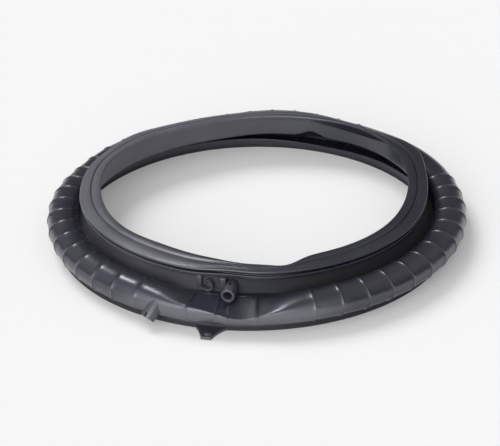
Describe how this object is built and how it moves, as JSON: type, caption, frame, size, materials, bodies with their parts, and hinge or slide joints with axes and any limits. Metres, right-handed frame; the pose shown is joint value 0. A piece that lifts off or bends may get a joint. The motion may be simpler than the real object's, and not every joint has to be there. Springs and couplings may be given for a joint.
{
  "type": "washing machine door seal",
  "caption": "Round moulded rubber door seal with a ribbed bellows fold, a double door-side flange, a tub-side foot, hose spigots and a drain stub.",
  "frame": {"origin": "on the seal's axis at the plane of its tub-side foot", "axes": "+Z along the seal's axis from the tub side to the door side, -Y towards the spigots, +X to the right seen from the spigots"},
  "size_m": [0.4233, 0.4267, 0.0506],
  "materials": {
    "rubber": "satin dark slate grey moulded rubber with soft sheen on the folds"
  },
  "bodies": {
    "root": {"door_seal": "rubber"}
  },
  "joints": []
}
